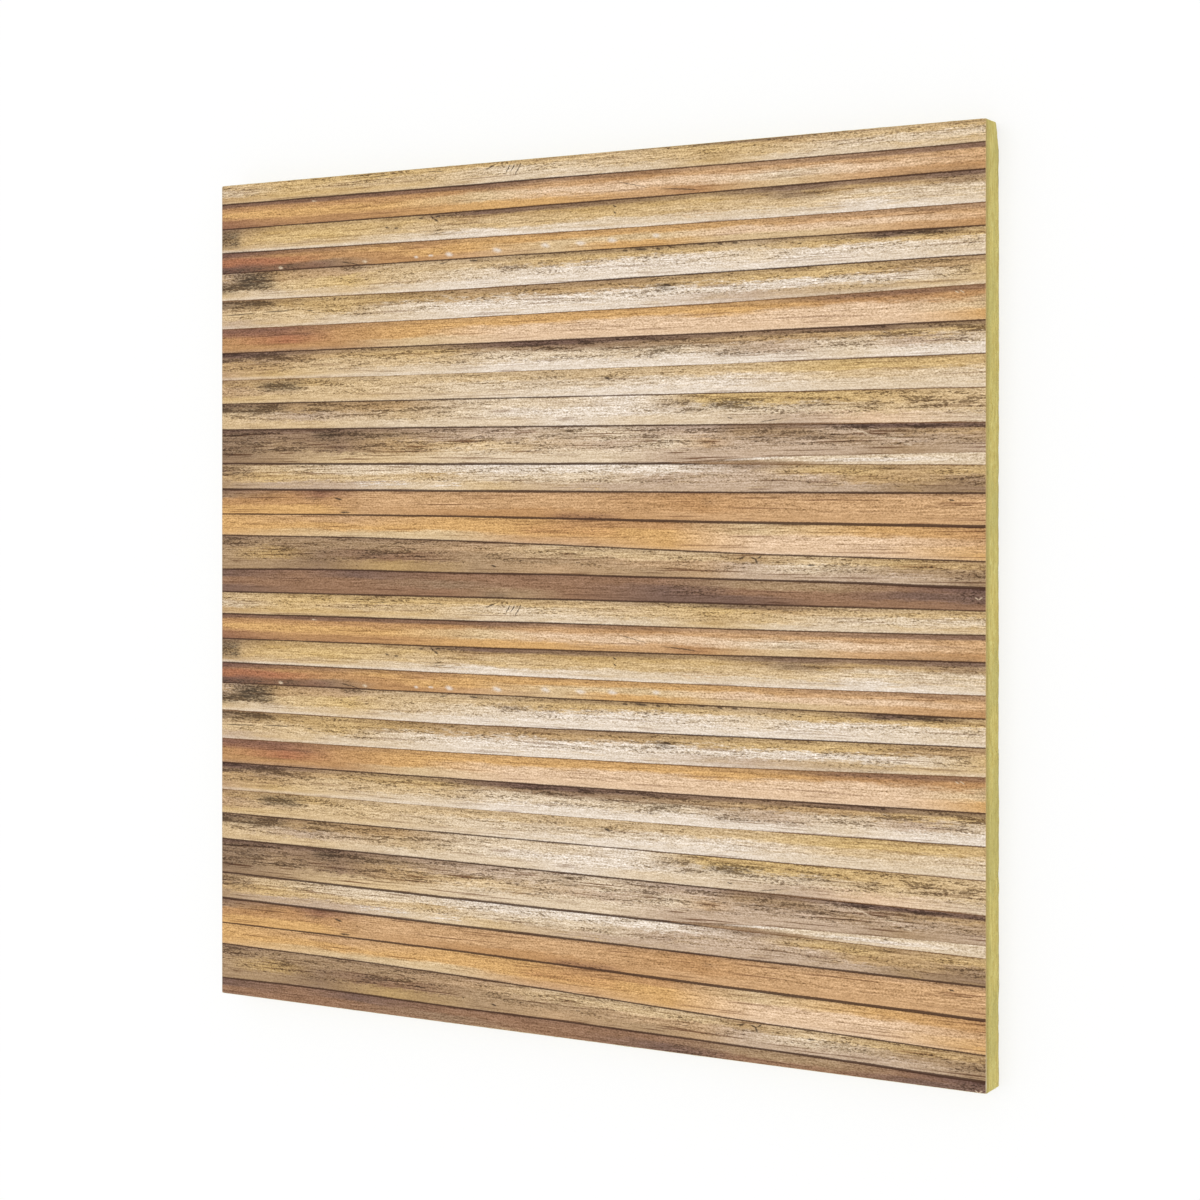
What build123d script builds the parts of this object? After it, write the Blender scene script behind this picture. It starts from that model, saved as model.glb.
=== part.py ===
"""Lay-in ceiling tile: a pressed mineral wool board with a printed fleece facing bonded to its visible side.

The tile lies on its back. Origin: centre of the back face. +X runs along the printed slats,
+Y across them, +Z out of the printed face. Millimetres.
"""

import os

from build123d import *

# Driving dimensions: the ceiling grid sets the side, the cut edge shows the thickness
GRID_MODULE = 600.0
GRID_PLAY = 5.0
TILE_THICKNESS = 22.0
FACING_THICKNESS = 0.8

# Edges: saw-cut and nearly sharp, a little softer where the loose wool meets the back
UPRIGHT_CORNER_RADIUS = 0.8
BACK_ARRIS_RADIUS = 1.0
FACE_ARRIS_RADIUS = 0.3

# The knocked back corner, at +X +Y: how far the dent reaches along each of the three edges
DENT_DOWN_SIDE = 16.0
DENT_ALONG_TOP = 7.0
DENT_INTO_THICKNESS = 6.0

# Worked out from the above
tile_side = GRID_MODULE - GRID_PLAY
half_side = tile_side / 2
core_thickness = TILE_THICKNESS - FACING_THICKNESS

# The dent is one slanting plane through a point on each edge that meets at the knocked corner
dent_on_side = Vector(half_side, half_side - DENT_DOWN_SIDE, 0)
dent_on_top = Vector(half_side - DENT_ALONG_TOP, half_side, 0)
dent_on_upright = Vector(half_side, half_side, DENT_INTO_THICKNESS)
dent_inward = (dent_on_upright - dent_on_side).cross(dent_on_top - dent_on_side)
dent_plane = Plane(origin=dent_on_side, z_dir=dent_inward)

# The wool board, back side down
with BuildPart() as wool_core:
    with BuildSketch() as core_outline:
        RectangleRounded(tile_side, tile_side, UPRIGHT_CORNER_RADIUS)
    extrude(amount=core_thickness)
    back_face = wool_core.faces().sort_by(Axis.Z)[0]
    fillet(back_face.edges(), BACK_ARRIS_RADIUS)
    split(bisect_by=dent_plane, keep=Keep.TOP)
wool_core.part.label = "wool_core"

# The printed facing, bonded to the board and cut flush with it
with BuildPart() as printed_facing:
    with BuildSketch(Plane.XY.offset(core_thickness)) as facing_outline:
        RectangleRounded(tile_side, tile_side, UPRIGHT_CORNER_RADIUS)
    extrude(amount=FACING_THICKNESS)
    visible_face = printed_facing.faces().sort_by(Axis.Z)[-1]
    fillet(visible_face.edges(), FACE_ARRIS_RADIUS)
printed_facing.part.label = "printed_facing"

os.makedirs("parts", exist_ok=True)
for piece in (wool_core, printed_facing):
    export_step(piece.part, f"parts/{piece.part.label}.step")
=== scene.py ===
import math

import bpy
import numpy as np
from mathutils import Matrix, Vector, noise


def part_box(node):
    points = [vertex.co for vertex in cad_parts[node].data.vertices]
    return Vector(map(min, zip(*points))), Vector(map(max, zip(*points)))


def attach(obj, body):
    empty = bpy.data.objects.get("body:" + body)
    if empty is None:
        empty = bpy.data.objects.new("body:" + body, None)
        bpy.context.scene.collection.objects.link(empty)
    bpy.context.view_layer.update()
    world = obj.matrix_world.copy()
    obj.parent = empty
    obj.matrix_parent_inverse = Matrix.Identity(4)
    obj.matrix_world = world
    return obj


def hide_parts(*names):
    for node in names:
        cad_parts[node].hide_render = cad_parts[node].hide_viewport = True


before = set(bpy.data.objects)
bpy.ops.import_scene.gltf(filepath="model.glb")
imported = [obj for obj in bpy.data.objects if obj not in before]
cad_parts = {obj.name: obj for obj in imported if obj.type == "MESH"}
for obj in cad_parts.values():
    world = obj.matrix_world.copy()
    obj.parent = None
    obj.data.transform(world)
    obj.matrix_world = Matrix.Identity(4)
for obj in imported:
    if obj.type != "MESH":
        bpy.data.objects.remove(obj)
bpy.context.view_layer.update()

MM = 0.001


# The wool board
# The body of the tile: mineral wool pressed into a stiff khaki board and sawn square on its four edges.
# The saw leaves the layers of fibre open, and one back corner has been knocked in.

board_low, board_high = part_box("wool_core")
board_half = (board_high.x - board_low.x) / 2
board_top = board_high.z
BOARD_CORNER = 0.8 * MM
BACK_CORNER = 0.3 * MM
BACK_ARRIS = 0.35 * MM
ARRIS_STEPS = 3
SIDE_STEP = 1.3 * MM
BACK_STEP = 3.0 * MM
CORNER_STEPS = (0.0, 0.35, 0.8, 2, 3.5, 5, 6.5, 8, 9.5, 11, 12.5, 14, 15.5, 17)
SIDE_RELIEF = 0.5 * MM
SAW_WANDER = 0.45 * MM
SAW_WAVE = 0.07
BACK_RELIEF = 0.45 * MM
# How far the knocked corner reaches along the top, down the side and into the thickness
DENT = Vector((6.0, 16.0, 5.0)) * MM
DENT_PRESS = 0.97


def rounded(x, y, half, radius):
    """Pulls the points of a square's corners in to round ones."""
    core = half - radius
    over_x, over_y = np.maximum(np.abs(x) - core, 0), np.maximum(np.abs(y) - core, 0)
    reach = np.hypot(over_x, over_y)
    pull = np.where(reach > 0, np.maximum(over_x, over_y) / np.maximum(reach, 1e-12), 1)
    return (
        np.where(over_x > 0, np.sign(x) * (core + over_x * pull), x),
        np.where(over_y > 0, np.sign(y) * (core + over_y * pull), y),
    )


def rim(columns, rows):
    """The outer vertices of a grid of rows of columns, in order round it, anticlockwise from the first."""
    bottom = [c for c in range(columns - 1)]
    right = [r * columns + columns - 1 for r in range(rows - 1)]
    top = [(rows - 1) * columns + c for c in range(columns - 1, 0, -1)]
    left = [r * columns for r in range(rows - 1, 0, -1)]
    return bottom + right + top + left


def mesh_object(name, points, faces):
    """A new object with a mesh of these points and faces."""
    mesh = bpy.data.meshes.new(name)
    mesh.from_pydata([tuple(p) for p in points], [], faces)
    mesh.update()
    made = bpy.data.objects.new(name, mesh)
    bpy.context.scene.collection.objects.link(made)
    return made


def tear(point, along, across, seed):
    """The roughness of torn fibre at a point, 0 to 1: long in the layers and fine across them."""
    near = Vector((point.x / along, point.y / along, point.z / across)) + Vector((seed, 0, 0))
    return min(max(0.4 + 0.55 * noise.fractal(near, 0.7, 2.1, 4), 0.0), 1.0)


ends = np.array(CORNER_STEPS) * MM
middle = np.arange(ends[-1] + BACK_STEP, 2 * board_half - ends[-1] - BACK_STEP / 2, BACK_STEP)
stations = np.concatenate((ends, middle, 2 * board_half - ends[::-1])) - board_half
count = len(stations)
grid_x, grid_y = (a.ravel() for a in np.meshgrid(stations, stations))
board_rim = rim(count, count)

# The back, then one ring for each level up the sides: round the back arris and on to the facing
flat_share = (board_half - BACK_ARRIS) / board_half
back_x, back_y = rounded(grid_x * flat_share, grid_y * flat_share, board_half - BACK_ARRIS, BACK_CORNER)
points = [Vector((x, y, 0)) for x, y in zip(back_x, back_y)]
outward = [Vector((0, 0, -1))] * len(points)
levels = [
    (BACK_ARRIS * (1 - math.sin(turn)), BACK_ARRIS * (1 - math.cos(turn)), turn)
    for turn in (math.pi / 2 * step / ARRIS_STEPS for step in range(1, ARRIS_STEPS + 1))
]
side_heights = np.linspace(BACK_ARRIS, board_top, round((board_top - BACK_ARRIS) / SIDE_STEP) + 1)[1:]
levels += [(0.0, height, math.pi / 2) for height in side_heights]
rim_x, rim_y = grid_x[board_rim], grid_y[board_rim]
for inset, height, turn in levels:
    share = (board_half - inset) / board_half
    radius = max(BOARD_CORNER - inset, BACK_CORNER)
    ring_x, ring_y = rounded(rim_x * share, rim_y * share, board_half - inset, radius)
    for x, y in zip(ring_x, ring_y):
        points.append(Vector((x, y, height)))
        facing_out = Vector((
            math.copysign(max(abs(x) - (board_half - BOARD_CORNER), 0), x),
            math.copysign(max(abs(y) - (board_half - BOARD_CORNER), 0), y),
            0,
        ))
        facing_out = facing_out.normalized() if facing_out.length > 0 else Vector((0, 0, 0))
        outward.append(facing_out * math.sin(turn) + Vector((0, 0, -math.cos(turn))))

# The knocked corner, at the photograph's top right: what stands past a slanting plane is pressed in to it
corner = Vector((board_half, board_half, 0))
dent_normal = Vector((1 / DENT.x, 1 / DENT.y, -1 / DENT.z))
dent_reach = (corner - Vector((DENT.x, 0, 0))).dot(dent_normal)
dent_reach, dent_normal = dent_reach / dent_normal.length, dent_normal.normalized()
for index, point in enumerate(points):
    past = point.dot(dent_normal) - dent_reach
    if past > 0:
        points[index] = point - dent_normal * (past * DENT_PRESS)

# Torn relief, and the slow wander of the saw, which both die out under the facing
for index, point in enumerate(points):
    out = outward[index]
    side = math.hypot(out.x, out.y)
    depth = SIDE_RELIEF * side * (tear(point, 9 * MM, 1.6 * MM, 3.0) - 0.35)
    depth -= SAW_WANDER * side * noise.noise(Vector((point.x, point.y, 0.6 * point.z)) / SAW_WAVE)
    depth += BACK_RELIEF * -out.z * tear(point, 6 * MM, 6 * MM, 8.0)
    if point.z > board_top - 1e-6:
        depth *= 0.3
    points[index] = point - out * depth
    points[index].z = max(points[index].z, 0.0)

ring_size = len(board_rim)
faces = [
    (r * count + c, (r + 1) * count + c, (r + 1) * count + c + 1, r * count + c + 1)
    for r in range(count - 1)
    for c in range(count - 1)
]
below = board_rim
for level in range(len(levels)):
    start = count * count + level * ring_size
    above = list(range(start, start + ring_size))
    for k in range(ring_size):
        n = (k + 1) % ring_size
        faces.append((below[k], below[n], above[n], above[k]))
    below = above
torn_faces = len(faces)
points.append(Vector((0, 0, board_top)))
faces += [(below[k], below[(k + 1) % ring_size], len(points) - 1) for k in range(ring_size)]
board = mesh_object("wool_board", points, faces)
board.data.polygons.foreach_set("use_smooth", [k < torn_faces for k in range(len(faces))])


def feed(tree, socket, source):
    """Links a node's socket to another's output, or sets its value."""
    if isinstance(source, bpy.types.NodeSocket):
        tree.links.new(source, socket)
    elif source is not None:
        socket.default_value = source


def add_node(tree, kind, settings, sockets):
    """A new node with its settings and with its sockets fed, by name or by number."""
    node = tree.nodes.new(kind)
    for name, value in settings.items():
        setattr(node, name, value)
    for key, source in sockets.items():
        feed(tree, node.inputs[key], source)
    return node


def work(tree, operation, *terms):
    """One step of arithmetic on one to three numbers."""
    return add_node(tree, "ShaderNodeMath", {"operation": operation}, dict(enumerate(terms))).outputs[0]


def swing(tree, value, reach, base):
    """The base, moved up or down by as much as a noise value strays from its middle."""
    return work(tree, "MULTIPLY_ADD", work(tree, "SUBTRACT", value, 0.5), reach, base)


def vector_work(tree, operation, *terms):
    """One step of arithmetic on one to three vectors."""
    sockets = dict(enumerate(terms))
    return add_node(tree, "ShaderNodeVectorMath", {"operation": operation}, sockets).outputs[0]


def scaled(tree, vector, factor):
    """A vector times a number."""
    sockets = {0: vector, "Scale": factor}
    return add_node(tree, "ShaderNodeVectorMath", {"operation": "SCALE"}, sockets).outputs[0]


def joined(tree, **parts):
    """A vector from its X, Y and Z, which are 0 where they aren't given."""
    return add_node(tree, "ShaderNodeCombineXYZ", {}, parts).outputs[0]


def parts_of(tree, vector):
    """The X, Y and Z of a vector."""
    return add_node(tree, "ShaderNodeSeparateXYZ", {}, {0: vector}).outputs


def fade(tree, value, start, end, low=0.0, high=1.0):
    """Goes smoothly from low to high as the value goes from start to end."""
    settings = {"interpolation_type": "SMOOTHSTEP"}
    sockets = {"Value": value, "From Min": start, "From Max": end, "To Min": low, "To Max": high}
    return add_node(tree, "ShaderNodeMapRange", settings, sockets).outputs["Result"]


# The noise's own grid is turned, or it would show as rows and columns
NOISE_TURN = 0.6


def mottle(tree, place, size, detail=3.0, roughness=0.6, shift=0.0, dimensions="2D"):
    """Cloudy noise, 0 to 1, whose patches are about as large as size along each axis."""
    near = add_node(tree, "ShaderNodeMapping", {}, {
        "Vector": place,
        "Location": (shift, shift * 1.7, shift * 0.6),
        "Rotation": (0, 0, NOISE_TURN),
        "Scale": [1 / s for s in size],
    }).outputs[0]
    sockets = {"Vector": near, "Scale": 1.0, "Detail": detail, "Roughness": roughness}
    return add_node(tree, "ShaderNodeTexNoise", {"noise_dimensions": dimensions}, sockets).outputs[0]


def tint(tree, amount, under, over, blend="MIX"):
    """Lays one colour over another."""
    settings = {"data_type": "RGBA", "blend_type": blend, "clamp_factor": True}
    return add_node(tree, "ShaderNodeMix", settings, {0: amount, 6: under, 7: over}).outputs[2]


def srgb(red, green, blue):
    """A colour as a screen shows it, 0 to 255, made linear."""
    share = [c / 255 for c in (red, green, blue)]
    return tuple(c / 12.92 if c <= 0.04045 else ((c + 0.055) / 1.055) ** 2.4 for c in share) + (1.0,)


def surface(name):
    """A new material with its node tree and its shader."""
    material = bpy.data.materials.new(name)
    material.use_nodes = True
    return material, material.node_tree, material.node_tree.nodes["Principled BSDF"]


fibre_effect = bpy.data.node_groups.new("torn_fibre", "ShaderNodeTree")
for name in ("Place", "Size", "Shift"):
    kind = "NodeSocketVector" if name == "Place" else "NodeSocketFloat"
    fibre_effect.interface.new_socket(name, in_out="INPUT", socket_type=kind)
given = fibre_effect.nodes.new("NodeGroupInput").outputs
given_up = fibre_effect.nodes.new("NodeGroupOutput").inputs
place = scaled(fibre_effect, given["Place"], work(fibre_effect, "DIVIDE", 1.0, given["Size"]))
place = vector_work(fibre_effect, "ADD", place, scaled(fibre_effect, (1.0, 1.7, 0.6), given["Shift"]))
for name, size, detail, roughness, shift in (
    ("Layers", (0.014, 0.014, 0.0016), 4, 0.65, 6),
    ("Tufts", (0.005, 0.005, 0.0026), 4, 0.7, 5),
    ("Clouds", (0.05, 0.05, 0.012), 3, 0.55, 6),
    ("Shot", (0.0011, 0.0011, 0.0008), 2, 0.6, 4),
):
    fibre_effect.interface.new_socket(name, in_out="OUTPUT", socket_type="NodeSocketFloat")
    pattern = mottle(fibre_effect, place, size, detail, roughness, shift, "3D")
    feed(fibre_effect, given_up[name], pattern)


def torn_fibre(tree, place, size, shift):
    """The look of torn mineral fibre: its layers, tufts, clouds and shot, each a value from 0 to 1."""
    sockets = {"Place": place, "Size": size, "Shift": shift}
    return add_node(tree, "ShaderNodeGroup", {"node_tree": fibre_effect}, sockets).outputs


KHAKI = srgb(235, 220, 137)
OCHRE = srgb(212, 191, 108)
LEMON = srgb(245, 237, 158)
MOSS = srgb(206, 197, 124)
# The binder's brown, used as well for the painted shade on the cut edge under the facing
BINDER_AND_SHADE = srgb(164, 145, 86)

wool, tree, shader = surface("pressed_wool")
place = tree.nodes.new("ShaderNodeTexCoord").outputs["Object"]
torn = torn_fibre(tree, place, 1.0, 0.0)
colour = tint(tree, fade(tree, torn["Layers"], 0.34, 0.62), OCHRE, KHAKI)
colour = tint(tree, fade(tree, torn["Tufts"], 0.50, 0.72, 0.0, 0.75), colour, LEMON)
colour = tint(tree, fade(tree, torn["Clouds"], 0.56, 0.38, 0.0, 0.5), colour, MOSS)
colour = tint(tree, fade(tree, torn["Shot"], 0.60, 0.72, 0.0, 0.6), colour, BINDER_AND_SHADE)
height = parts_of(tree, place)["Z"]
# Painted shade: a band of the cut edge is darkened towards the facing, where the two parts meet
shade_under_facing = swing(tree, torn["Tufts"], 4 * MM, height)
colour = tint(tree, fade(tree, shade_under_facing, board_top - 7 * MM, board_top, 0.0, 0.55), colour, BINDER_AND_SHADE)
feed(tree, shader.inputs["Base Color"], colour)
feed(tree, shader.inputs["Roughness"], fade(tree, torn["Tufts"], 0.3, 0.7, 0.98, 0.86))
shader.inputs["Specular IOR Level"].default_value = 0.2
rough = {"Strength": 0.8, "Distance": 0.6 * MM, "Height": work(tree, "ADD", torn["Tufts"], torn["Shot"])}
feed(tree, shader.inputs["Normal"], add_node(tree, "ShaderNodeBump", {}, rough).outputs["Normal"])
board.data.materials.append(wool)
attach(board, "root")
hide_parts("wool_core")


# The loose fibres
# Strands of mineral fibre that the saw has pulled out of the cut edges and the press has left on the back.
# They lie along the layers of the board, held at both ends, and bow a little way off it.

FIBRE_SIZES = {
    "Edge Density": 46000.0,
    "Back Density": 4600.0,
    "Shortest": 5 * MM,
    "Longest": 13 * MM,
    "Thickness": 0.055 * MM,
    "Bow": 0.45 * MM,
    "Lean": 0.3,
    "Board Top": board_top,
    "Reach": board_half - 7.5 * MM,
}
FIBRE_SEED = 41

scatter = bpy.data.node_groups.new("scatter_fibres", "GeometryNodeTree")
scatter.interface.new_socket("Geometry", in_out="INPUT", socket_type="NodeSocketGeometry")
fibre_inputs = dict.fromkeys(FIBRE_SIZES, "NodeSocketFloat")
fibre_inputs |= {"Seed": "NodeSocketInt", "Material": "NodeSocketMaterial"}
fibre_sockets = {
    name: scatter.interface.new_socket(name, in_out="INPUT", socket_type=kind)
    for name, kind in fibre_inputs.items()
}
scatter.interface.new_socket("Geometry", in_out="OUTPUT", socket_type="NodeSocketGeometry")
given = scatter.nodes.new("NodeGroupInput").outputs


def chance(low, high, offset):
    """A random number for each fibre."""
    sockets = {2: low, 3: high, "Seed": work(scatter, "ADD", given["Seed"], offset)}
    return add_node(scatter, "FunctionNodeRandomValue", {"data_type": "FLOAT"}, sockets).outputs[1]


def noted(geometry, name, value, domain, kind="FLOAT"):
    """Writes a value to the geometry under a name."""
    sockets = {"Geometry": geometry, "Name": name, "Value": value}
    settings = {"data_type": kind, "domain": domain}
    return add_node(scatter, "GeometryNodeStoreNamedAttribute", settings, sockets).outputs[0]


def recalled(name):
    """A value that was written to the geometry."""
    settings = {"data_type": "FLOAT"}
    return add_node(scatter, "GeometryNodeInputNamedAttribute", settings, {"Name": name}).outputs[0]


# Where the fibres lie: on the cut edges and the back, not under the facing
face_normal = scatter.nodes.new("GeometryNodeInputNormal").outputs[0]
up = parts_of(scatter, face_normal)["Z"]
apart = vector_work(scatter, "ABSOLUTE", scatter.nodes.new("GeometryNodeInputPosition").outputs[0])
apart = parts_of(scatter, apart)
nearest = work(scatter, "MINIMUM", apart["X"], apart["Y"])
furthest = work(scatter, "MAXIMUM", apart["X"], apart["Y"])
on_edge = work(scatter, "LESS_THAN", work(scatter, "ABSOLUTE", up), 0.4)
on_edge = work(scatter, "MULTIPLY", on_edge, work(scatter, "LESS_THAN", nearest, given["Reach"]))
on_back = work(scatter, "LESS_THAN", up, -0.9)
on_back = work(scatter, "MULTIPLY", on_back, work(scatter, "LESS_THAN", furthest, given["Reach"]))
density = work(scatter, "MULTIPLY", on_edge, given["Edge Density"])
density = work(scatter, "MULTIPLY_ADD", on_back, given["Back Density"], density)
density = add_node(scatter, "GeometryNodeFieldOnDomain", {"domain": "FACE"}, {0: density}).outputs[0]
strewn = add_node(scatter, "GeometryNodeDistributePointsOnFaces", {}, {
    "Mesh": given["Geometry"], "Density": density, "Seed": given["Seed"],
}).outputs

# The way out of the board there, rounded to the axes that it mostly follows
normal = vector_work(scatter, "MULTIPLY_ADD", strewn["Normal"], (0.78, 0.78, 0.78), (0.5, 0.5, 0.5))
normal = vector_work(scatter, "FLOOR", normal)
sunk = scaled(scatter, normal, work(scatter, "MULTIPLY", given["Thickness"], -1.0))
spots = add_node(scatter, "GeometryNodeSetPosition", {}, {
    "Geometry": strewn["Points"], "Offset": sunk,
}).outputs[0]
out_up = parts_of(scatter, normal)["Z"]
spots = noted(spots, "on_back", work(scatter, "LESS_THAN", out_up, -0.5), "POINT")
on_back = recalled("on_back")

# How each one lies: along the layers on the cut edges, leaning no further than the board is thick, and any
# way round on the back
spot = scatter.nodes.new("GeometryNodeInputPosition").outputs[0]
height = parts_of(scatter, spot)["Z"]
room = work(scatter, "MINIMUM", height, work(scatter, "SUBTRACT", given["Board Top"], height))
length = chance(given["Shortest"], given["Longest"], 1)
lean = work(scatter, "DIVIDE", work(scatter, "MULTIPLY", room, 1.6), length)
lean = work(scatter, "MINIMUM", given["Lean"], lean)
lean = work(scatter, "MULTIPLY", lean, chance(-1.0, 1.0, 2))
any_way = work(scatter, "MULTIPLY", on_back, math.pi)
turn = work(scatter, "MULTIPLY_ADD", any_way, chance(-1.0, 1.0, 3), lean)
along_layers = vector_work(scatter, "CROSS_PRODUCT", normal, (0.0, 0.0, 1.0))
along_layers = vector_work(scatter, "ADD", along_layers, (1e-4, 0.0, 0.0))
laid = add_node(scatter, "FunctionNodeAlignRotationToVector", {"axis": "Z"}, {"Vector": normal}).outputs[0]
laid = add_node(scatter, "FunctionNodeAlignRotationToVector", {"axis": "X", "pivot_axis": "Z"}, {
    "Rotation": laid, "Vector": along_layers,
}).outputs[0]
flat = work(scatter, "MULTIPLY", on_back, math.pi / 2)
turned = joined(scatter, X=flat, Z=turn)
turned = add_node(scatter, "FunctionNodeEulerToRotation", {}, {0: turned}).outputs[0]
laid = add_node(scatter, "FunctionNodeRotateRotation", {"rotation_space": "LOCAL"}, {
    0: laid, 1: turned,
}).outputs[0]
size = joined(scatter, X=length, Y=1.0, Z=chance(0.35, 1.0, 4))

# One fibre, a metre long and bowed, thin enough for a three-sided section
bend = joined(scatter, Z=work(scatter, "MULTIPLY", given["Bow"], 2.0))
path = add_node(scatter, "GeometryNodeCurveQuadraticBezier", {}, {
    "Resolution": 4, "Start": (-0.5, 0.0, 0.0), "Middle": bend, "End": (0.5, 0.0, 0.0),
}).outputs[0]
part_way = scatter.nodes.new("GeometryNodeSplineParameter").outputs["Factor"]
path = noted(path, "along", part_way, "POINT")
section = add_node(scatter, "GeometryNodeCurvePrimitiveCircle", {"mode": "RADIUS"}, {
    "Resolution": 3, "Radius": given["Thickness"],
}).outputs[0]
section = noted(section, "round", part_way, "POINT")
strand = add_node(scatter, "GeometryNodeCurveToMesh", {}, {
    "Curve": path, "Profile Curve": section, "Fill Caps": True,
}).outputs[0]
laid_out = add_node(scatter, "GeometryNodeInstanceOnPoints", {}, {
    "Points": spots, "Instance": strand, "Rotation": laid, "Scale": size,
}).outputs[0]
laid_out = noted(laid_out, "fibre_tone", chance(0.0, 1.0, 5), "INSTANCE")
strands = add_node(scatter, "GeometryNodeRealizeInstances", {}, {0: laid_out}).outputs[0]

# The map that its look is read from: the fibre's own tone across, the way along it up
across_map = work(scatter, "MULTIPLY_ADD", recalled("fibre_tone"), 0.92, 0.02)
across_map = work(scatter, "MULTIPLY_ADD", recalled("round"), 0.03, across_map)
up_map = work(scatter, "MULTIPLY_ADD", recalled("along"), 0.92, 0.02)
off_line = work(scatter, "ABSOLUTE", work(scatter, "SUBTRACT", recalled("round"), 0.34))
up_map = work(scatter, "MULTIPLY_ADD", off_line, 0.03, up_map)
on_map = joined(scatter, X=across_map, Y=up_map)
strands = noted(strands, "OFBake", on_map, "CORNER", "FLOAT2")
strands = add_node(scatter, "GeometryNodeSetMaterial", {}, {
    "Geometry": strands, "Material": given["Material"],
}).outputs[0]
feed(scatter, scatter.nodes.new("NodeGroupOutput").inputs[0], strands)

strand_wool, tree, shader = surface("fibre_strand")
on_map = add_node(tree, "ShaderNodeUVMap", {"uv_map": "OFBake"}, {}).outputs[0]
apart = parts_of(tree, on_map)
colour = tint(tree, fade(tree, apart["X"], 0.1, 0.9), MOSS, LEMON)
blotches = torn_fibre(tree, scaled(tree, on_map, 0.05), 1.0, 6.0)
colour = tint(tree, fade(tree, blotches["Tufts"], 0.45, 0.7, 0.0, 0.6), colour, OCHRE)
ends_in = work(tree, "ABSOLUTE", work(tree, "SUBTRACT", apart["Y"], 0.5))
colour = tint(tree, fade(tree, ends_in, 0.3, 0.5, 0.0, 0.5), colour, BINDER_AND_SHADE)
feed(tree, shader.inputs["Base Color"], colour)
shader.inputs["Roughness"].default_value = 0.7
shader.inputs["Specular IOR Level"].default_value = 0.3

host = bpy.data.objects.new("fibre_host", board.data.copy())
bpy.context.scene.collection.objects.link(host)
strewing = host.modifiers.new("scatter", "NODES")
strewing.node_group = scatter
for name, value in FIBRE_SIZES.items():
    strewing[fibre_sockets[name].identifier] = value
strewing[fibre_sockets["Seed"].identifier] = FIBRE_SEED
strewing[fibre_sockets["Material"].identifier] = strand_wool
bpy.context.view_layer.update()
grown = bpy.data.meshes.new_from_object(host.evaluated_get(bpy.context.evaluated_depsgraph_get()))
host.modifiers.remove(strewing)
bpy.data.objects.remove(host)
grown.name = "loose_fibres"
fibres = bpy.data.objects.new("loose_fibres", grown)
bpy.context.scene.collection.objects.link(fibres)
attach(fibres, "root")


# The printed facing
# A thin fleece bonded to the board and cut flush with it. Its face carries a print of seventeen weathered
# reeds laid side by side, drawn once and printed twice down the tile. Where it is cut the fleece is cream,
# but painted shade darkens that cut edge to olive khaki everywhere except near the lower end.

face_low, face_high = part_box("printed_facing")
face_half = (face_high.x - face_low.x) / 2
side_mm = 2 * face_half / MM
FACE_CORNER = 0.5 * MM
FACE_ARRIS = 0.3 * MM
FACE_ARRIS_STEPS = 3
COLUMN_STEP = 2.8 * MM
ROWS_PER_REED = 9
PRINT_REPEAT = 301.15

TONES = {
    "white": srgb(238, 225, 211),
    "chalk": srgb(231, 215, 196),
    "cream": srgb(221, 199, 169),
    "straw": srgb(213, 184, 141),
    "wheat": srgb(207, 174, 121),
    "gold": srgb(211, 178, 120),
    "lichen": srgb(187, 153, 101),
    "olive": srgb(190, 156, 111),
    "drab": srgb(170, 140, 106),
    "ash": srgb(196, 170, 144),
    "umber": srgb(148, 119, 92),
    "honey": srgb(212, 166, 106),
    "salmon": srgb(225, 192, 157),
    "biscuit": srgb(203, 161, 116),
    "tan": srgb(192, 158, 120),
    "amber": srgb(188, 142, 94),
    "russet": srgb(176, 116, 80),
    "rust": srgb(156, 110, 80),
    "oxblood": srgb(128, 88, 74),
    "plum": srgb(150, 113, 85),
    "dusk": srgb(122, 94, 79),
    "soot": srgb(86, 76, 62),
}

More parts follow.
